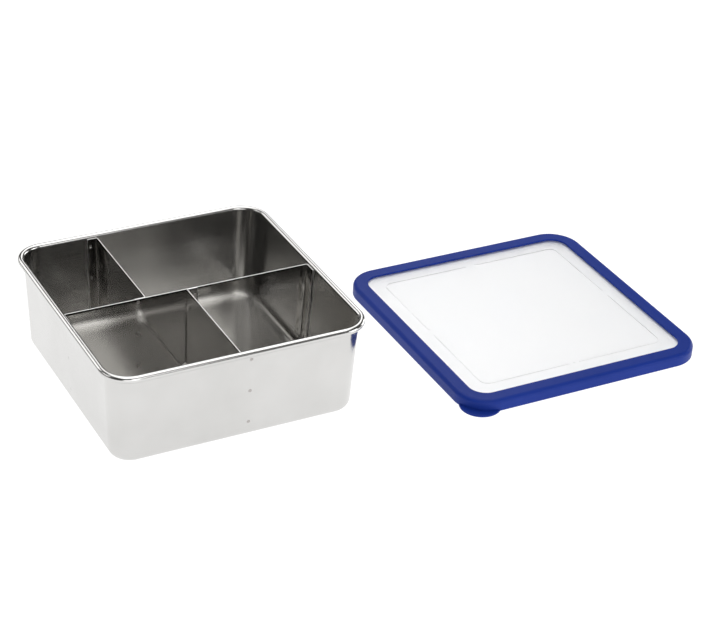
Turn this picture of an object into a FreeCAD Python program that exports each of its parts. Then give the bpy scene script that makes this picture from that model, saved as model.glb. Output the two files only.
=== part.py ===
import FreeCAD, Part
import math
import os

os.makedirs("parts", exist_ok=True)
V = FreeCAD.Vector

# Square divided food container in stainless sheet, with its press-on lid lying beside it.
# Millimetres. +Z is up, +X is the width and +Y goes to the rear. The origin is the centre of the
# tub's base, on the surface that the tub and the lid both stand on.

# ---- driving dimensions: tub ----------------------------------------------------------------
opening_half_x = 100.0        # half the clear opening inside the rim bead, across X
opening_half_y = 100.0        # the same across Y
tub_height = 79.0             # from the resting surface to the top of the rim bead
sheet = 0.7                   # thickness of the drawn tub wall and floor
rim_bead_radius = 2.6         # outer radius of the curled rim
rim_curl_angle = 305.0        # how far the sheet edge curls round, in degrees
draft_angle = 2.7             # lean of the walls from the vertical, in degrees
opening_corner_radius = 18.0  # inside corner of the opening, seen from above
base_corner_radius = 16.0     # inside corner at the floor, seen from above
floor_fillet = 8.0            # outer radius between wall and floor
emboss_inset = 19.0           # from the foot of the wall to the raised floor panel
emboss_corner_radius = 10.0   # corner of the raised panel, seen from above
emboss_height = 1.2           # rise of the floor panel
emboss_offset = 0.3           # the pocket under the panel is smaller, which keeps the sheet's thickness

# ---- driving dimensions: dividers -----------------------------------------------------------
divider_sheet = 0.7           # thickness of the divider sheet
divider_top_gap = 0.2         # from the middle of the rim bead down to the dividers' top edge
divider_floor_gap = 0.3       # clearance between a divider and the raised floor panel
divider_relief_gap = 0.5      # extra on the lower corners so that they clear the floor fillet
main_divider_y = 0.0          # middle of the full-width divider
rear_divider_x = -35.0        # middle of the divider in the rear half
front_divider_x = -1.5        # middle of the divider in the front half
main_flange_width = 11.0      # width of the main divider's turned flanges
flange_width = 8.5            # width of the flanges of the rear divider and where two dividers meet
front_flange_width = 12.0     # width of the front divider's flange on the front wall
bend_radius = 1.4             # outer radius of the bend between web and flange

# ---- driving dimensions: spot welds ---------------------------------------------------------
weld_radius = 1.4             # radius of a weld nugget
weld_dish_depth = 0.28        # depth of the electrode mark in its ends
weld_offset = 5.8             # from the divider's near face to a weld
front_weld_offset = 7.5       # the same on the front wall
wall_weld_top_drop = 6.4      # from the dividers' top edge to the upper weld on a wall
wall_weld_foot_rise = 4.2     # from the foot of the flange to the lowest weld on a wall
joint_weld_top_drop = 2.6     # from the dividers' top edge to the upper weld between two dividers
front_joint_top_drop = 6.2    # the same between the main and the front divider
joint_weld_foot_rise = 15.4   # from the dividers' foot to the lowest weld between two dividers
front_joint_foot_rise = 11.8  # the same between the main and the front divider
welds_per_row = 3             # spot welds on each flange

# ---- driving dimensions: lid ----------------------------------------------------------------
lid_centre = V(280.0, -33.0, 0.0)  # where the lid lies beside the tub
groove_inner_clearance = 0.6  # between the lid's inner lip and the tub opening
groove_outer_clearance = 0.3  # between the lid's skirt and the rim bead
skirt_thickness = 2.6         # lid skirt, outside the groove
inner_lip_thickness = 2.8     # lip that locates inside the opening
inner_lip_depth = 1.6         # how far that lip reaches below the groove's roof
roof_to_panel = 0.7           # frame material under the panel
panel_thickness = 1.4         # translucent panel
panel_recess = 1.3            # from the frame's top down to the panel's top
panel_capture = 4.0           # how far the panel's edge runs inside the frame
groove_depth = 7.0            # from the lid's foot to the groove's roof
snap_lip_reach = 1.2          # how far the snap lip stands into the groove
snap_lip_height = 1.7         # height of the snap lip at the skirt's foot
frame_top_radius = 3.2        # outer top edge of the frame
frame_inner_radius = 1.0      # inner top edge of the frame
frame_foot_radius = 0.8       # outer bottom edge of the skirt
tab_reach = 7.5               # how far the pull tab stands out at the corner
tab_radius = 16.5             # radius of the pull tab's free edge
tab_heading = 232.0           # where the pull tab points, in degrees from +X
tab_thickness = 1.8           # thickness of the pull tab
rib_inset = 12.5              # from the visible edge of the panel to the stacking rib
rib_width = 1.2               # width of the stacking rib
rib_height = 0.35             # height of the stacking rib above the panel
rib_corner_radius = 7.0       # outside corner of the stacking rib
rib_gap = 9.0                 # gap in the rib at the middle of each side
gate_mark_radius = 0.9        # moulding mark in the front gap of the rib

# ---- values that follow from the ones above -------------------------------------------------
wall_slope = math.tan(math.radians(draft_angle))
rim_plane = tub_height - rim_bead_radius
base_half_x = opening_half_x - rim_plane * wall_slope
base_half_y = opening_half_y - rim_plane * wall_slope
divider_foot = sheet + emboss_height + divider_floor_gap
divider_top = rim_plane - divider_top_gap
corner_relief = floor_fillet - sheet + divider_relief_gap
flange_foot = divider_foot + corner_relief
rim_outer = 2 * rim_bead_radius
lid_height = groove_depth + roof_to_panel + panel_thickness + panel_recess
big = 4 * max(opening_half_x, opening_half_y)


def inner_half(side_half, z):
    """Half distance between two opposite tub walls, inside, at height z."""
    return side_half - (rim_plane - z) * wall_slope


# ---- geometry helpers -----------------------------------------------------------------------
def rounded_wire(half_x, half_y, radius, z):
    """Rounded rectangle about the Z axis, as one closed wire at height z."""
    edges = []
    centres = [(1, 1), (-1, 1), (-1, -1), (1, -1)]
    for i, (sx, sy) in enumerate(centres):
        cx = sx * (half_x - radius)
        cy = sy * (half_y - radius)
        start = math.radians(90 * i)
        points = []
        for k in range(3):
            a = start + k * math.pi / 4
            points.append(V(cx + radius * math.cos(a), cy + radius * math.sin(a), z))
        edges.append(Part.Arc(*points).toShape())
    joined = []
    for i in range(4):
        joined.append(edges[i])
        a = edges[i].Vertexes[-1].Point
        b = edges[(i + 1) % 4].Vertexes[0].Point
        joined.append(Part.makeLine(a, b))
    return Part.Wire(joined)


def rounded_block(half_x, half_y, radius, z0, z1):
    """Straight-sided rounded block."""
    face = Part.Face(rounded_wire(half_x, half_y, radius, z0))
    return face.extrude(V(0, 0, z1 - z0))


def drafted_block(foot, top, z0, z1):
    """Block between two rounded rectangles, each given as (half_x, half_y, radius)."""
    return Part.makeLoft([rounded_wire(*foot, z0), rounded_wire(*top, z1)], True, True)


def edges_at(shape, z):
    """Edges of a shape that lie wholly at height z."""
    found = []
    for edge in shape.Edges:
        box = edge.BoundBox
        if abs(box.ZMin - z) < 1e-4 and abs(box.ZMax - z) < 1e-4:
            found.append(edge)
    return found


def ring_from_section(outline, half_x, half_y, radius):
    """Sweep a closed outline round a rounded rectangle.

    The outline is a list of edges in the XZ plane; its X is measured outwards from the rectangle.
    """
    section = Part.Face(Part.Wire(outline))
    pieces = []
    for turn in range(4):
        along = half_y - radius
        out = half_x
        if turn % 2:
            along = half_x - radius
            out = half_y
        start = section.copy()
        start.translate(V(out, -along, 0))
        side = start.extrude(V(0, 2 * along, 0))
        end = section.copy()
        end.translate(V(out, along, 0))
        corner = end.revolve(V(out - radius, along, 0), V(0, 0, 1), 90)
        for piece in (side, corner):
            piece.rotate(V(0, 0, 0), V(0, 0, 1), 90 * turn)
            pieces.append(piece)
    return pieces[0].multiFuse(pieces[1:]).removeSplitter()


def polyline(points):
    """Straight edges from point to point; points are (x, z) pairs."""
    edges = []
    for a, b in zip(points[:-1], points[1:]):
        edges.append(Part.makeLine(V(a[0], 0, a[1]), V(b[0], 0, b[1])))
    return edges


def arc_xz(centre, radius, start, end):
    """Arc in the XZ plane about centre (x, z), angles in degrees."""
    points = []
    for k in range(3):
        a = math.radians(start + (end - start) * k / 2.0)
        points.append(V(centre[0] + radius * math.cos(a), 0, centre[1] + radius * math.sin(a)))
    return Part.Arc(*points).toShape()


def single_solid(shape):
    """The one solid of a shape."""
    if len(shape.Solids) != 1:
        raise ValueError("expected one solid, found %d" % len(shape.Solids))
    return shape.Solids[0]


def export(name, shape):
    """Write a node's STEP file and say what it holds."""
    if not shape.isValid():
        raise ValueError(name + " is not valid")
    shape.exportStep("parts/" + name + ".step")
    box = shape.BoundBox
    print("%-24s solids %d  volume %10.1f  z %.2f to %.2f"
          % (name, len(shape.Solids), shape.Volume, box.ZMin, box.ZMax))


# ---- tub ------------------------------------------------------------------------------------
def floor_panel(lift, shrink):
    """The raised panel's body: 45 degree sides, its top emboss_height above its foot."""
    half_x = base_half_x - emboss_inset - shrink
    half_y = base_half_y - emboss_inset - shrink
    foot = (half_x + emboss_height, half_y + emboss_height, emboss_corner_radius + emboss_height)
    top = (half_x, half_y, emboss_corner_radius)
    return drafted_block(foot, top, lift, lift + emboss_height)


def wall_block(grow, z0, fillet):
    """The drafted body of the tub: its inside when grow is 0, its outside when grow is the sheet."""
    foot_x = inner_half(opening_half_x, z0) + grow
    foot_y = inner_half(opening_half_y, z0) + grow
    foot = (foot_x, foot_y, base_corner_radius + grow)
    top = (opening_half_x + grow, opening_half_y + grow, opening_corner_radius + grow)
    block = drafted_block(foot, top, z0, rim_plane)
    return block.makeFillet(fillet, edges_at(block, z0))


def rim_curl():
    """The curled edge: the sheet rolls outwards and down, back towards the wall."""
    centre = (rim_bead_radius, rim_plane)
    first = 180.0
    last = 180.0 - rim_curl_angle
    outside = arc_xz(centre, rim_bead_radius, first, last)
    inside = arc_xz(centre, rim_bead_radius - sheet, last, first)
    tip = Part.makeLine(outside.Vertexes[-1].Point, inside.Vertexes[0].Point)
    root = Part.makeLine(inside.Vertexes[-1].Point, outside.Vertexes[0].Point)
    return ring_from_section([outside, tip, inside, root], opening_half_x, opening_half_y,
                             opening_corner_radius)


def make_tub():
    outside = wall_block(sheet, 0.0, floor_fillet)
    inside = wall_block(0.0, sheet, floor_fillet - sheet)
    shell = outside.cut(inside.cut(floor_panel(sheet, 0.0)))
    shell = shell.cut(floor_panel(0.0, emboss_offset))
    tub = shell.fuse(rim_curl()).removeSplitter()
    for row in weld_rows():
        if row["wall"]:
            for cutter in weld_cutters(row):
                tub = tub.cut(cutter)
    return single_solid(tub)


# ---- dividers -------------------------------------------------------------------------------
def divider_outline(near, far, near_flange, far_flange, z):
    """Outline of a flanged divider at one height, in its own axes.

    The web runs along X from near to far with its near face on Y = 0 and its back on
    Y = -divider_sheet. The flanges are turned towards +Y, their outer faces on X = near and X = far.
    """
    t = divider_sheet
    outer = bend_radius
    inner = bend_radius - t
    c = outer - outer * math.sqrt(0.5)
    d = outer - inner * math.sqrt(0.5)
    y0 = -t

    def p(x, y):
        return V(x, y, z)

    return Part.Wire([
        Part.makeLine(p(near + outer, y0), p(far - outer, y0)),
        Part.Arc(p(far - outer, y0), p(far - c, y0 + c), p(far, y0 + outer)).toShape(),
        Part.makeLine(p(far, y0 + outer), p(far, far_flange)),
        Part.makeLine(p(far, far_flange), p(far - t, far_flange)),
        Part.makeLine(p(far - t, far_flange), p(far - t, y0 + outer)),
        Part.Arc(p(far - t, y0 + outer), p(far - d, y0 + d), p(far - outer, y0 + t)).toShape(),
        Part.makeLine(p(far - outer, y0 + t), p(near + outer, y0 + t)),
        Part.Arc(p(near + outer, y0 + t), p(near + d, y0 + d), p(near + t, y0 + outer)).toShape(),
        Part.makeLine(p(near + t, y0 + outer), p(near + t, near_flange)),
        Part.makeLine(p(near + t, near_flange), p(near, near_flange)),
        Part.makeLine(p(near, near_flange), p(near, y0 + outer)),
        Part.Arc(p(near, y0 + outer), p(near + c, y0 + c), p(near + outer, y0)).toShape(),
    ])


def relief_cutter(corner, inward):
    """Wedge that takes the lower corner off a divider's end, so that it clears the floor fillet."""
    reach = corner_relief * inward
    a = V(corner - reach, -big / 8, divider_foot - 1)
    b = V(corner + reach, -big / 8, divider_foot - 1)
    c = V(corner + reach, -big / 8, divider_foot)
    d = V(corner, -big / 8, flange_foot)
    e = V(corner - reach, -big / 8, flange_foot)
    wedge = Part.Face(Part.makePolygon([a, b, c, d, e, a]))
    return wedge.extrude(V(0, big / 4, 0))


def make_divider(ends, flanges):
    """A flanged divider in its own axes.

    ends gives each end's place as a function of height, and flanges each end's flange width.
    """
    wires = []
    for z in (divider_foot, divider_top):
        near = ends[0](z)
        far = ends[1](z)
        wires.append(divider_outline(near, far, flanges[0], flanges[1], z))
    body = Part.makeLoft(wires, True, True)
    for end, inward in ((ends[0], 1), (ends[1], -1)):
        body = body.cut(relief_cutter(end(flange_foot), inward))
    return body


def wall_x(sign):
    """Place of the left or right wall as a function of height."""
    return lambda z: sign * inner_half(opening_half_x, z)


def wall_y(sign):
    """Place of the front or rear wall as a function of height."""
    return lambda z: sign * inner_half(opening_half_y, z)


def fixed(value):
    """A place that is the same at every height."""
    return lambda z: value


half_sheet = divider_sheet / 2
main_front = main_divider_y - half_sheet
main_back = main_divider_y + half_sheet


def make_main_divider():
    """Full-width divider; both flanges turned to the front."""
    body = make_divider((wall_x(-1), wall_x(1)), (main_flange_width, main_flange_width))
    mirrored = body.mirror(V(0, 0, 0), V(0, 1, 0))
    mirrored.translate(V(0, main_front, 0))
    return mirrored


def make_rear_divider():
    """Divider in the rear half; both flanges turned to the left."""
    ends = (fixed(main_back), wall_y(1))
    body = make_divider(ends, (flange_width, flange_width))
    body.rotate(V(0, 0, 0), V(0, 0, 1), 90)
    body.translate(V(rear_divider_x - half_sheet, 0, 0))
    return body


def make_front_divider():
    """Divider in the front half; both flanges turned to the right."""
    body = make_divider((fixed(-main_front), wall_y(1)), (flange_width, front_flange_width))
    body.rotate(V(0, 0, 0), V(0, 0, 1), -90)
    body.translate(V(front_divider_x + half_sheet, 0, 0))
    return body


# ---- spot welds -----------------------------------------------------------------------------
def even_heights(low, high):
    """Heights of the welds of one row, evenly spaced from low to high."""
    step = (high - low) / (welds_per_row - 1)
    return [low + step * i for i in range(welds_per_row)]


def weld_rows():
    """Each row: its name, the flange's divider, the sheet behind it, and where its welds sit.

    at gives a point on the face where the two sheets meet, out the direction through the second
    sheet, and wall says whether that sheet is a wall of the tub.
    """
    lean = math.radians(draft_angle)
    low = flange_foot + wall_weld_foot_rise
    wall_heights = even_heights(low, divider_top - wall_weld_top_drop)

    def joint_heights(top_drop, foot_rise):
        return even_heights(divider_foot + foot_rise, divider_top - top_drop)

    rear_joint_heights = joint_heights(joint_weld_top_drop, joint_weld_foot_rise)
    front_joint_heights = joint_heights(front_joint_top_drop, front_joint_foot_rise)
    main_weld_y = main_front - weld_offset
    rear_weld_x = rear_divider_x - half_sheet - weld_offset
    front_wall_weld_x = front_divider_x + half_sheet + front_weld_offset
    front_joint_weld_x = front_divider_x + half_sheet + weld_offset

    def on_x_wall(sign):
        return [V(sign * inner_half(opening_half_x, z), main_weld_y, z) for z in wall_heights]

    def on_y_wall(sign, x):
        return [V(x, sign * inner_half(opening_half_y, z), z) for z in wall_heights]

    flat = math.cos(lean)
    down = -math.sin(lean)
    return [
        {"name": "left_wall_welds", "wall": True, "out": V(-flat, 0, down),
         "at": on_x_wall(-1), "behind": sheet * flat},
        {"name": "right_wall_welds", "wall": True, "out": V(flat, 0, down),
         "at": on_x_wall(1), "behind": sheet * flat},
        {"name": "rear_wall_welds", "wall": True, "out": V(0, flat, down),
         "at": on_y_wall(1, rear_weld_x), "behind": sheet * flat},
        {"name": "front_wall_welds", "wall": True, "out": V(0, -flat, down),
         "at": on_y_wall(-1, front_wall_weld_x), "behind": sheet * flat},
        {"name": "rear_joint_welds", "wall": False, "out": V(0, -1, 0),
         "at": [V(rear_weld_x, main_back, z) for z in rear_joint_heights],
         "behind": divider_sheet},
        {"name": "front_joint_welds", "wall": False, "out": V(0, 1, 0),
         "at": [V(front_joint_weld_x, main_front, z) for z in front_joint_heights],
         "behind": divider_sheet},
    ]


def flange_depth(row):
    """Thickness of the flange, square to the face where the sheets meet."""
    return divider_sheet * math.cos(math.radians(draft_angle)) if row["wall"] else divider_sheet


def weld_cutters(row):
    """Round cutters through both sheets, one for each weld of a row."""
    reach = 4 * sheet
    return [Part.makeCylinder(weld_radius, 2 * reach, at - row["out"] * reach, row["out"])
            for at in row["at"]]


def weld_nugget(at, out, inside, behind):
    """One weld: a disc through both sheets with a shallow electrode dish in each end."""
    disc = Part.makeCylinder(weld_radius, inside + behind, at - out * inside, out)
    dish_radius = (weld_radius ** 2 + weld_dish_depth ** 2) / (2 * weld_dish_depth)
    for centre in (at + out * (behind + dish_radius - weld_dish_depth),
                   at - out * (inside + dish_radius - weld_dish_depth)):
        disc = disc.cut(Part.makeSphere(dish_radius, centre))
    return single_solid(disc)


def weld_group(row):
    """All the nuggets of one row."""
    return Part.makeCompound([weld_nugget(at, row["out"], flange_depth(row), row["behind"])
                              for at in row["at"]])


def drill(shape, names):
    """Cut the weld holes of the named rows in a shape."""
    for row in weld_rows():
        if row["name"] in names:
            for cutter in weld_cutters(row):
                shape = shape.cut(cutter)
    return single_solid(shape)


# ---- lid ------------------------------------------------------------------------------------
# The lid's ring is measured outwards from the tub's opening, so that it always fits its rim.
lip_outer = -groove_inner_clearance
lip_inner = lip_outer - inner_lip_thickness
groove_outer = rim_outer + groove_outer_clearance
skirt_outer = groove_outer + skirt_thickness
roof = groove_depth
panel_low = roof + roof_to_panel
panel_high = panel_low + panel_thickness
frame_inner = lip_inner - frame_inner_radius
panel_edge = frame_inner + panel_capture


def make_lid_frame():
    """Soft frame: top flange, slot for the panel, inner lip, groove with a snap lip, and skirt."""
    x_top = skirt_outer - frame_top_radius
    outline = polyline([(skirt_outer, frame_foot_radius), (skirt_outer, lid_height - frame_top_radius)])
    outline.append(arc_xz((x_top, lid_height - frame_top_radius), frame_top_radius, 0, 90))
    x_inner = frame_inner + frame_inner_radius
    outline += polyline([(x_top, lid_height), (x_inner, lid_height)])
    outline.append(arc_xz((x_inner, lid_height - frame_inner_radius), frame_inner_radius, 90, 180))
    outline += polyline([
        (frame_inner, lid_height - frame_inner_radius),
        (frame_inner, panel_high),
        (panel_edge, panel_high),
        (panel_edge, panel_low),
        (lip_inner, panel_low),
        (lip_inner, roof - inner_lip_depth),
        (lip_outer, roof - inner_lip_depth),
        (lip_outer, roof),
        (groove_outer, roof),
        (groove_outer, snap_lip_height),
        (groove_outer - snap_lip_reach, snap_lip_height / 2),
        (groove_outer - snap_lip_reach / 2, 0),
        (skirt_outer - frame_foot_radius, 0),
    ])
    outline.append(arc_xz((skirt_outer - frame_foot_radius, frame_foot_radius), frame_foot_radius,
                          -90, 0))
    frame = ring_from_section(outline, opening_half_x, opening_half_y, opening_corner_radius)
    return single_solid(frame.fuse(pull_tab()).removeSplitter())


def pull_tab():
    """Crescent finger tab at the foot of the skirt, on the front left corner."""
    ring_radius = opening_corner_radius + skirt_outer
    corner = V(-opening_half_x + opening_corner_radius, -opening_half_y + opening_corner_radius, 0)
    shift = ring_radius + tab_reach - tab_radius
    heading = math.radians(tab_heading)
    outwards = V(math.cos(heading), math.sin(heading), 0)
    disc = Part.makeCylinder(tab_radius, tab_thickness, corner + outwards * shift)
    disc = disc.makeFillet(tab_thickness / 2.5, disc.Edges[0:1] + disc.Edges[2:3])
    grown = groove_outer + skirt_thickness / 2
    hole = rounded_block(opening_half_x + grown, opening_half_y + grown,
                         opening_corner_radius + grown, -1, tab_thickness + 1)
    return disc.cut(hole)


def rib_ring():
    """Low stacking rib on the panel, broken at the middle of each side."""
    half_x = opening_half_x + frame_inner - rib_inset
    half_y = opening_half_y + frame_inner - rib_inset
    outer = rounded_block(half_x, half_y, rib_corner_radius, panel_high, panel_high + rib_height)
    inner = rounded_block(half_x - rib_width, half_y - rib_width, rib_corner_radius - rib_width,
                          panel_high - 1, panel_high + rib_height + 1)
    ring = outer.cut(inner)
    for size in ((big, rib_gap), (rib_gap, big)):
        gap = Part.makeBox(size[0], size[1], 4, V(-size[0] / 2, -size[1] / 2, panel_high - 2))
        ring = ring.cut(gap)
    mark = Part.makeCylinder(gate_mark_radius, rib_height,
                             V(0, -half_y + rib_width / 2, panel_high))
    return [ring, mark]


def make_lid_panel():
    """Translucent panel, its edge held in the frame's slot."""
    half_x = opening_half_x + panel_edge
    half_y = opening_half_y + panel_edge
    panel = rounded_block(half_x, half_y, opening_corner_radius + panel_edge, panel_low, panel_high)
    for piece in rib_ring():
        panel = panel.fuse(piece)
    return single_solid(panel.removeSplitter())


def at_rest(shape):
    """The lid's place beside the tub."""
    copy = shape.copy()
    copy.translate(lid_centre)
    return copy


# ---- build ----------------------------------------------------------------------------------
def main():
    export("tub", make_tub())
    export("main_divider", drill(make_main_divider(), ("left_wall_welds", "right_wall_welds",
                                                       "rear_joint_welds", "front_joint_welds")))
    export("rear_divider", drill(make_rear_divider(), ("rear_wall_welds", "rear_joint_welds")))
    export("front_divider", drill(make_front_divider(), ("front_wall_welds", "front_joint_welds")))
    for row in weld_rows():
        export(row["name"], weld_group(row))
    export("lid_frame", at_rest(make_lid_frame()))
    export("lid_panel", at_rest(make_lid_panel()))


main()
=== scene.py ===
import math

import bpy
from mathutils import Matrix, Vector


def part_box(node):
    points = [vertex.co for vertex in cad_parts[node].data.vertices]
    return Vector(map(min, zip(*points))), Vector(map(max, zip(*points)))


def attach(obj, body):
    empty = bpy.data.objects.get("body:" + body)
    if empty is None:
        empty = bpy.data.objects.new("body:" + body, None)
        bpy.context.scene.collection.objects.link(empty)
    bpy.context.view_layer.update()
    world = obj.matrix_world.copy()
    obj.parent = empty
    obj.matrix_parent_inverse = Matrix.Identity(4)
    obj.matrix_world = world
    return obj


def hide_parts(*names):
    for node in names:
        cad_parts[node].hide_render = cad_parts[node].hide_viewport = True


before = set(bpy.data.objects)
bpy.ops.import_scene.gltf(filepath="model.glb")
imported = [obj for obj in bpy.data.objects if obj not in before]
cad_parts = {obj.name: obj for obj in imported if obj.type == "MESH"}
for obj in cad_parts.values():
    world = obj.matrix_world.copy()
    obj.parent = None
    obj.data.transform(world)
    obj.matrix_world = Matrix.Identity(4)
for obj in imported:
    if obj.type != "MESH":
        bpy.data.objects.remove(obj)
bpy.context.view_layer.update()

MM = 0.001
TUB_MIDDLE = (0, 0, 0.04)


# ---- nodes ------------------------------------------------------------------------------------
class Nodes:
    """Small helper that adds and links shader nodes."""

    def __init__(self, name):
        self.material = bpy.data.materials.new(name)
        self.material.use_nodes = True
        self.tree = self.material.node_tree
        self.tree.nodes.clear()
        self.output = self.tree.nodes.new("ShaderNodeOutputMaterial")
        place = self.tree.nodes.new("ShaderNodeTexCoord")
        self.coords = place.outputs["Object"]
        self.normal = place.outputs["Normal"]

    def add(self, kind, **settings):
        node = self.tree.nodes.new(kind)
        for key, value in settings.items():
            setattr(node, key, value)
        return node

    def link(self, source, target):
        self.tree.links.new(source, target)

    def scaled(self, scale):
        node = self.add("ShaderNodeMapping")
        node.inputs["Scale"].default_value = scale
        self.link(self.coords, node.inputs["Vector"])
        return node.outputs["Vector"]

    def noise(self, scale, detail=2.0, roughness=0.5, stretch=(1, 1, 1)):
        node = self.add("ShaderNodeTexNoise")
        node.inputs["Scale"].default_value = scale
        node.inputs["Detail"].default_value = detail
        node.inputs["Roughness"].default_value = roughness
        self.link(self.scaled(stretch), node.inputs["Vector"])
        return node.outputs["Fac"]

    def remap(self, value, low, high, source=(0.3, 0.7)):
        node = self.add("ShaderNodeMapRange", clamp=True)
        node.inputs["From Min"].default_value = source[0]
        node.inputs["From Max"].default_value = source[1]
        node.inputs["To Min"].default_value = low
        node.inputs["To Max"].default_value = high
        self.link(value, node.inputs["Value"])
        return node.outputs["Result"]

    def ramp(self, value, stops):
        node = self.add("ShaderNodeValToRGB")
        elements = node.color_ramp.elements
        while len(elements) < len(stops):
            elements.new(0.5)
        for element, (place, colour) in zip(elements, stops):
            element.position = place
            element.color = (*colour, 1)
        self.link(value, node.inputs["Fac"])
        return node.outputs["Color"]

    def bump(self, height, distance, strength=1.0, under=None):
        node = self.add("ShaderNodeBump")
        node.inputs["Distance"].default_value = distance
        node.inputs["Strength"].default_value = strength
        self.link(height, node.inputs["Height"])
        if under is not None:
            self.link(under, node.inputs["Normal"])
        return node.outputs["Normal"]

    def math(self, operation, a, b):
        node = self.add("ShaderNodeMath", operation=operation)
        for socket, value in zip(node.inputs, (a, b)):
            if isinstance(value, (int, float)):
                socket.default_value = value
            else:
                self.link(value, socket)
        return node.outputs["Value"]

    def mix(self, factor, a, b):
        node = self.add("ShaderNodeMix", data_type="FLOAT")
        sockets = (node.inputs["Factor"], node.inputs[2], node.inputs[3])
        for socket, value in zip(sockets, (factor, a, b)):
            self.link(value, socket)
        return node.outputs[0]

    def looks_inwards(self):
        """1 where a face looks towards the middle of the tub, 0 where it looks away."""
        middle = self.add("ShaderNodeVectorMath", operation="SUBTRACT")
        self.link(self.coords, middle.inputs[0])
        middle.inputs[1].default_value = TUB_MIDDLE
        facing = self.add("ShaderNodeVectorMath", operation="DOT_PRODUCT")
        self.link(middle.outputs["Vector"], facing.inputs[0])
        self.link(self.normal, facing.inputs[1])
        return self.math("LESS_THAN", facing.outputs["Value"], 0.0)

    def principled(self, **constants):
        node = self.add("ShaderNodeBsdfPrincipled")
        for key, value in constants.items():
            node.inputs[key.replace("_", " ")].default_value = value
        self.link(node.outputs["BSDF"], self.output.inputs["Surface"])
        return node


# ---- materials --------------------------------------------------------------------------------
BRUSH_STRETCH = (9.0, 9.0, 2600.0)
CLOUD_SCALE = 14.0
WAVE_SCALE = 9.0


def steel(name, light, dark, rough, brush_depth, wave_depth, inner_rough=None):
    """Stainless sheet: fine horizontal brushing over slow unevenness of the drawn sheet.

    rough and inner_rough are (low, high). Where inner_rough is given, it holds for the faces that
    look towards the middle of the tub, which are more satin than the outside.
    """
    n = Nodes(name)
    shader = n.principled(Metallic=1.0, IOR=2.5)
    brush = n.noise(1.0, 3.0, 0.6, BRUSH_STRETCH)
    cloud = n.noise(CLOUD_SCALE, 4.0, 0.6)
    wave = n.noise(WAVE_SCALE, 1.0, 0.4)
    colour = n.ramp(n.remap(cloud, 0.0, 1.0), [(0.0, dark), (1.0, light)])
    n.link(colour, shader.inputs["Base Color"])
    roughness = n.remap(brush, *rough)
    if inner_rough:
        roughness = n.mix(n.looks_inwards(), roughness, n.remap(brush, *inner_rough))
    n.link(roughness, shader.inputs["Roughness"])
    slow = n.bump(wave, wave_depth)
    n.link(n.bump(brush, brush_depth, 1.0, slow), shader.inputs["Normal"])
    return n.material


def plastic(name, light, dark, cloud_scale, grain_scale, rough, grain_depth, **constants):
    """Moulded plastic: faint clouding of the colour and a fine grain."""
    n = Nodes(name)
    shader = n.principled(**constants)
    grain = n.noise(grain_scale, 2.0, 0.5)
    cloud = n.noise(cloud_scale, 3.0, 0.5)
    colour = n.ramp(n.remap(cloud, 0.0, 1.0), [(0.0, dark), (1.0, light)])
    n.link(colour, shader.inputs["Base Color"])
    n.link(n.remap(grain, *rough), shader.inputs["Roughness"])
    n.link(n.bump(grain, grain_depth), shader.inputs["Normal"])
    return n.material


def paint(piece, material):
    piece.data.materials.clear()
    piece.data.materials.append(material)


tub_steel = steel("tub_steel", (0.64, 0.635, 0.625), (0.58, 0.575, 0.563),
                  (0.12, 0.20), 0.006 * MM, 0.3 * MM, (0.16, 0.22))
divider_steel = steel("divider_steel", (0.62, 0.61, 0.59), (0.57, 0.56, 0.54),
                      (0.07, 0.10), 0.0015 * MM, 0.2 * MM)
# The cross dividers are the same steel as the main divider; their darker colour is painted shade.
cross_steel_painted_shade = steel("cross_steel_painted_shade", (0.45, 0.44, 0.425), (0.41, 0.40, 0.385),
                    (0.09, 0.13), 0.003 * MM, 0.2 * MM)
# Sheared edges: a rougher finish, and a lighter colour that is a painted highlight.
sheared_edge_painted_highlight = steel("sheared_edge_painted_highlight", (0.86, 0.86, 0.85), (0.78, 0.78, 0.77),
                      (0.28, 0.40), 0.01 * MM, 0.1 * MM)
weld_steel = steel("weld_steel", (0.50, 0.48, 0.46), (0.36, 0.34, 0.33),
                   (0.22, 0.40), 0.01 * MM, 0.2 * MM)
frame_blue = plastic("frame_plastic", (0.009, 0.033, 0.26), (0.007, 0.029, 0.235),
                     26.0, 2400.0, (0.36, 0.48), 0.03 * MM, IOR=1.48, Specular_IOR_Level=0.16)
panel_milk = plastic("panel_plastic", (0.995, 0.997, 1.0), (0.985, 0.99, 1.0),
                     18.0, 1500.0, (0.30, 0.36), 0.006 * MM, IOR=1.49, Transmission_Weight=0.92)

NODE_MATERIALS = {
    "tub": tub_steel,
    "main_divider": divider_steel,
    "rear_divider": divider_steel,
    "front_divider": divider_steel,
    "left_wall_welds": tub_steel,
    "right_wall_welds": tub_steel,
    "rear_wall_welds": tub_steel,
    "front_wall_welds": weld_steel,
    "rear_joint_welds": weld_steel,
    "front_joint_welds": weld_steel,
    "lid_frame": frame_blue,
    "lid_panel": panel_milk,
}

for node_name, node_material in NODE_MATERIALS.items():
    paint(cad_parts[node_name], node_material)


# ---- divider sheets ---------------------------------------------------------------------------
SHEET = 0.7 * MM
BEND_RADIUS = 1.4 * MM
RIM_PLANE = 76.4 * MM
WALL_LEAN = math.radians(2.7)
WALL_SLOPE = math.tan(WALL_LEAN)
OPENING_HALF = 100.0 * MM

MAIN_Y = 0.0
REAR_X = -35.0 * MM
FRONT_X = -1.5 * MM
MAIN_FLANGE = 11.0 * MM
CROSS_FLANGE = 8.5 * MM
FRONT_WALL_FLANGE = 12.0 * MM
FLANGE_RISE = 7.8 * MM      # the flanges start this far above the dividers' foot
FLANGE_LIFT = 0.16 * MM
EDGE_INSET = 0.35 * MM      # keeps the wavy edge inside the width of the straight one

WELD_RADIUS = 1.4 * MM
WELD_SIDES = 48
WELD_CUT_HALF = 3 * MM
EDGE_SOFTNESS = 0.14 * MM
SHARP_ANGLE = math.radians(50)
HEIGHT_STEPS, FLANGE_STEPS, WEB_STEPS, BEND_STEPS = 36, 8, 40, 6


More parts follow.
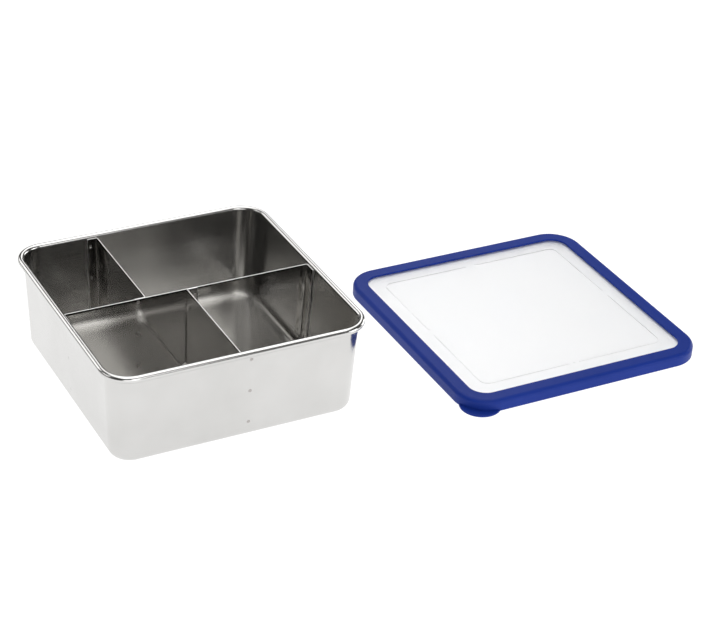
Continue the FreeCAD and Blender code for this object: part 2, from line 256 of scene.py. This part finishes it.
def wall(z):
    """Half distance between the tub's opposite walls, inside, at height z."""
    return OPENING_HALF - (RIM_PLANE - z) * WALL_SLOPE


def edge_wave(z, phase):
    """How far a flange's sheared edge strays from its straight line."""
    long_wave = 0.40 * math.sin(z * 115.0 + phase)
    short_wave = 0.18 * math.sin(z * 310.0 + 2.3 * phase)
    return (long_wave + short_wave) * MM - EDGE_INSET


def flange_lift(z, outwards):
    """How far a flange stands off the wall, most at its free edge."""
    return FLANGE_LIFT * (1 + math.sin(z * 140.0)) * outwards ** 3


def divider_rows(near_end, far_end, near_width, far_width, foot, top):
    """Middle surface of a flanged sheet in its own axes: one row of points per step along it.

    near_end and far_end give the sheet's ends at height z. Both flanges turn to the same side.
    """
    half = SHEET / 2
    radius = BEND_RADIUS - half
    root = BEND_RADIUS - SHEET
    flange_foot = foot + FLANGE_RISE
    length = far_end(foot) - near_end(foot)
    rows = []

    def add(low, place):
        heights = [low + (top - low) * k / HEIGHT_STEPS for k in range(HEIGHT_STEPS + 1)]
        rows.append([(*place(z), z) for z in heights])

    def flange(end, way, width, phase, outwards):
        """outwards is 0 at the bend and 1 at the free edge."""
        add(flange_foot, lambda z: (end(z) + way * (half + flange_lift(z, outwards)),
                                    root + (width + edge_wave(z, phase) - root) * outwards))

    def bend(end, way, turned):
        """turned is 0 at the flange and 1 at the web."""
        a = math.pi / 2 * turned
        add(flange_foot, lambda z: (end(z) + way * (BEND_RADIUS - radius * math.cos(a)),
                                    root - radius * math.sin(a)))

    def web(along):
        """along is 0 at the near bend and 1 at the far one. The lower corners are cut back."""
        low = foot + max(0.0, FLANGE_RISE - min(along, 1 - along) * length)
        add(low, lambda z: (near_end(z) + BEND_RADIUS
                            + (far_end(z) - near_end(z) - 2 * BEND_RADIUS) * along, -half))

    for k in range(FLANGE_STEPS):
        flange(near_end, 1, near_width, 0.0, 1 - k / FLANGE_STEPS)
    for k in range(BEND_STEPS + 1):
        bend(near_end, 1, k / BEND_STEPS)
    for k in range(1, WEB_STEPS):
        web(k / WEB_STEPS)
    for k in range(BEND_STEPS + 1):
        bend(far_end, -1, 1 - k / BEND_STEPS)
    for k in range(1, FLANGE_STEPS + 1):
        flange(far_end, -1, far_width, 2.1, k / FLANGE_STEPS)
    return rows


def add_object(name, points, faces):
    mesh = bpy.data.meshes.new(name)
    mesh.from_pydata(points, [], faces)
    added = bpy.data.objects.new(name, mesh)
    bpy.context.scene.collection.objects.link(added)
    return added


def grid_mesh(name, rows):
    count = len(rows[0])
    points = [p for row in rows for p in row]
    faces = [(i * count + j, (i + 1) * count + j, (i + 1) * count + j + 1, i * count + j + 1)
             for i in range(len(rows) - 1) for j in range(count - 1)]
    return add_object(name, points, faces)


def weld_spots(node):
    """Centres of the three welds in a node, found from its heights."""
    points = sorted((v.co.copy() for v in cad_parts[node].data.vertices), key=lambda c: c.z)
    groups = [[points[0]]]
    for point in points[1:]:
        if point.z - groups[-1][-1].z > 4 * WELD_RADIUS:
            groups.append([])
        groups[-1].append(point)
    return [sum((Vector(c) for c in g), Vector()) / len(g) for g in groups]


def weld_cutter(spots):
    """Short cylinders, one through each weld; spots gives (centre, axis) pairs."""
    sides = WELD_SIDES
    points, faces = [], []
    for centre, axis in spots:
        across = axis.orthogonal().normalized()
        other = axis.cross(across).normalized()
        first = len(points)
        for end in (-WELD_CUT_HALF, WELD_CUT_HALF):
            for k in range(sides):
                a = 2 * math.pi * k / sides
                points.append(tuple(centre + axis * end
                                    + (across * math.cos(a) + other * math.sin(a)) * WELD_RADIUS))
        for k in range(sides):
            n = (k + 1) % sides
            faces.append((first + k, first + n, first + sides + n, first + sides + k))
        faces.append(tuple(first + k for k in reversed(range(sides))))
        faces.append(tuple(first + sides + k for k in range(sides)))
    return add_object("cutter", points, faces)


WELD_AXES = {
    "left_wall_welds": Vector((-math.cos(WALL_LEAN), 0, -math.sin(WALL_LEAN))),
    "right_wall_welds": Vector((math.cos(WALL_LEAN), 0, -math.sin(WALL_LEAN))),
    "rear_wall_welds": Vector((0, math.cos(WALL_LEAN), -math.sin(WALL_LEAN))),
    "front_wall_welds": Vector((0, -math.cos(WALL_LEAN), -math.sin(WALL_LEAN))),
    "rear_joint_welds": Vector((0, 1, 0)),
    "front_joint_welds": Vector((0, 1, 0)),
}


def add_sheet_modifiers(piece, cutter):
    """Thickness, then soft sheared edges, then the weld holes."""
    solid = piece.modifiers.new("solid", "SOLIDIFY")
    solid.thickness = SHEET
    solid.offset = 0.0
    solid.use_even_offset = True
    solid.material_offset_rim = 1
    soft = piece.modifiers.new("soft", "BEVEL")
    soft.width = EDGE_SOFTNESS
    soft.segments = 2
    soft.limit_method = "ANGLE"
    soft.angle_limit = SHARP_ANGLE
    soft.material = 1
    holes = piece.modifiers.new("holes", "BOOLEAN")
    holes.operation = "DIFFERENCE"
    holes.solver = "EXACT"
    holes.object = cutter


def apply_modifiers(piece):
    graph = bpy.context.evaluated_depsgraph_get()
    mesh = bpy.data.meshes.new_from_object(piece.evaluated_get(graph))
    piece.modifiers.clear()
    piece.data = mesh
    for face in mesh.polygons:
        face.use_smooth = True
    mesh.set_sharp_from_angle(angle=SHARP_ANGLE)


def make_divider(node, rows, turn, weld_nodes, face_steel):
    """Build one divider sheet from its middle surface, and put it in its CAD node's place."""
    piece = grid_mesh(node + "_sheet", rows)
    piece.data.transform(turn)
    piece.data.materials.append(face_steel)
    piece.data.materials.append(sheared_edge_painted_highlight)
    cutter = weld_cutter([(spot, WELD_AXES[w]) for w in weld_nodes for spot in weld_spots(w)])
    add_sheet_modifiers(piece, cutter)
    apply_modifiers(piece)
    bpy.data.objects.remove(cutter)
    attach(piece, "tub")
    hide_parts(node)


def make_dividers():
    low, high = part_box("main_divider")
    foot, top = low.z, high.z
    half = SHEET / 2
    make_divider(
        "main_divider",
        divider_rows(lambda z: -wall(z), wall, MAIN_FLANGE, MAIN_FLANGE, foot, top),
        Matrix.Translation((0, MAIN_Y - half, 0)) @ Matrix.Diagonal((1, -1, 1, 1)),
        ("left_wall_welds", "right_wall_welds", "rear_joint_welds", "front_joint_welds"),
        divider_steel)
    make_divider(
        "rear_divider",
        divider_rows(lambda z: MAIN_Y + half, wall, CROSS_FLANGE, CROSS_FLANGE, foot, top),
        Matrix.Translation((REAR_X - half, 0, 0)) @ Matrix.Rotation(math.pi / 2, 4, "Z"),
        ("rear_wall_welds", "rear_joint_welds"), cross_steel_painted_shade)
    make_divider(
        "front_divider",
        divider_rows(lambda z: half - MAIN_Y, wall, CROSS_FLANGE, FRONT_WALL_FLANGE, foot, top),
        Matrix.Translation((FRONT_X + half, 0, 0)) @ Matrix.Rotation(-math.pi / 2, 4, "Z"),
        ("front_wall_welds", "front_joint_welds"), cross_steel_painted_shade)


make_dividers()


# ---- floor, light and camera ------------------------------------------------------------------
FLOOR_HALF = 5.0
FLOOR_DROP = 0.1 * MM       # keeps the floor off the faces that stand on it
FLOOR_GLOW = 1.04

LIGHT_AIM = Vector((0.15, 0.0, 0.04))
# name, azimuth and elevation in degrees, power in watts, size and distance in metres
LIGHTS = (
    ("front_low", 195, 10, 9, (1.9, 0.9)),
    ("front", 180, 33, 5, (1.0, 0.8)),
    ("right_front_low", 135, 11, 8),
    ("right_low", 78, 10, 7),
    ("left_rear", 330, 25, 4.8, (1.0, 0.9)),
    ("rear", 26, 31, 3.8, (0.9, 0.8)),
    ("rear_high", 25, 54, 6.5, (1.5, 0.9)),
    ("left", 285, 31, 3.0),
    ("overhead", 0, 88, 20, (1.9, 1.9), 1.9),
)

STUDIO_FRONT = (0.47, -0.86, 0.2)
STUDIO_LEVELS = ((0.0, 0.08), (0.5, 0.08), (1.0, 0.10))
STUDIO_TINT = (1.0, 0.98, 0.95)

CAMERA_PLACE = (-0.5525, -1.2653, 0.8842)
CAMERA_YAW, CAMERA_PITCH, CAMERA_ROLL = (math.radians(a) for a in (28.85, 30.85, 3.28))
CAMERA_LENS = 107.0
CAMERA_SENSOR = 36.0


def make_floor():
    corners = ((-1, -1), (1, -1), (1, 1), (-1, 1))
    floor = add_object("floor", [(x * FLOOR_HALF, y * FLOOR_HALF, -FLOOR_DROP) for x, y in corners],
                       [(0, 1, 2, 3)])
    n = Nodes("floor_white")
    shader = n.principled(Roughness=0.9)
    shader.inputs["Emission Color"].default_value = (1, 1, 1, 1)
    shader.inputs["Emission Strength"].default_value = FLOOR_GLOW
    n.link(n.ramp(n.noise(3.0), [(0.0, (0.11, 0.11, 0.11)), (1.0, (0.13, 0.13, 0.13))]),
           shader.inputs["Base Color"])
    paint(floor, n.material)


def soft_box(name, azimuth, elevation, power, size=(1.0, 0.8), distance=2.0):
    """Area light aimed at the middle of the arrangement. Azimuth 0 is the rear, 90 the right."""
    turn, lift = math.radians(azimuth), math.radians(elevation)
    offset = Vector((math.sin(turn) * math.cos(lift), math.cos(turn) * math.cos(lift),
                     math.sin(lift)))
    data = bpy.data.lights.new(name, "AREA")
    data.shape = "RECTANGLE"
    data.size, data.size_y = size
    data.energy = power
    lamp = bpy.data.objects.new(name, data)
    lamp.location = LIGHT_AIM + offset * distance
    lamp.rotation_euler = offset.to_track_quat("Z", "Y").to_euler()
    bpy.context.scene.collection.objects.link(lamp)


def make_world():
    """Dim warm studio, a little lighter on the viewer's side."""
    world = bpy.data.worlds.new("studio")
    bpy.context.scene.world = world
    world.use_nodes = True
    tree = world.node_tree
    tree.nodes.clear()
    output = tree.nodes.new("ShaderNodeOutputWorld")
    background = tree.nodes.new("ShaderNodeBackground")
    coords = tree.nodes.new("ShaderNodeTexCoord")
    aim = tree.nodes.new("ShaderNodeVectorMath")
    aim.operation = "DOT_PRODUCT"
    aim.inputs[1].default_value = STUDIO_FRONT
    centre = tree.nodes.new("ShaderNodeMapRange")
    centre.inputs["From Min"].default_value = -1.0
    centre.inputs["From Max"].default_value = 1.0
    ramp = tree.nodes.new("ShaderNodeValToRGB")
    elements = ramp.color_ramp.elements
    while len(elements) < len(STUDIO_LEVELS):
        elements.new(0.5)
    for element, (place, level) in zip(elements, STUDIO_LEVELS):
        element.position = place
        element.color = (*(level * tint for tint in STUDIO_TINT), 1)
    tree.links.new(coords.outputs["Generated"], aim.inputs[0])
    tree.links.new(aim.outputs["Value"], centre.inputs["Value"])
    tree.links.new(centre.outputs["Result"], ramp.inputs["Fac"])
    tree.links.new(ramp.outputs["Color"], background.inputs["Color"])
    tree.links.new(background.outputs["Background"], output.inputs["Surface"])


def make_camera():
    forward = Vector((math.sin(CAMERA_YAW) * math.cos(CAMERA_PITCH),
                      math.cos(CAMERA_YAW) * math.cos(CAMERA_PITCH), -math.sin(CAMERA_PITCH)))
    level = Vector((math.cos(CAMERA_YAW), -math.sin(CAMERA_YAW), 0))
    upright = level.cross(forward)
    right = level * math.cos(CAMERA_ROLL) + upright * math.sin(CAMERA_ROLL)
    up = upright * math.cos(CAMERA_ROLL) - level * math.sin(CAMERA_ROLL)
    data = bpy.data.cameras.new("camera")
    data.sensor_width = CAMERA_SENSOR
    data.lens = CAMERA_LENS
    camera = bpy.data.objects.new("camera", data)
    facing = Matrix((right, up, -forward)).transposed().to_4x4()
    camera.matrix_world = Matrix.Translation(CAMERA_PLACE) @ facing
    bpy.context.scene.collection.objects.link(camera)
    bpy.context.scene.camera = camera


make_floor()
make_world()
for light in LIGHTS:
    soft_box(*light)
make_camera()
bpy.context.scene.view_settings.view_transform = "Standard"
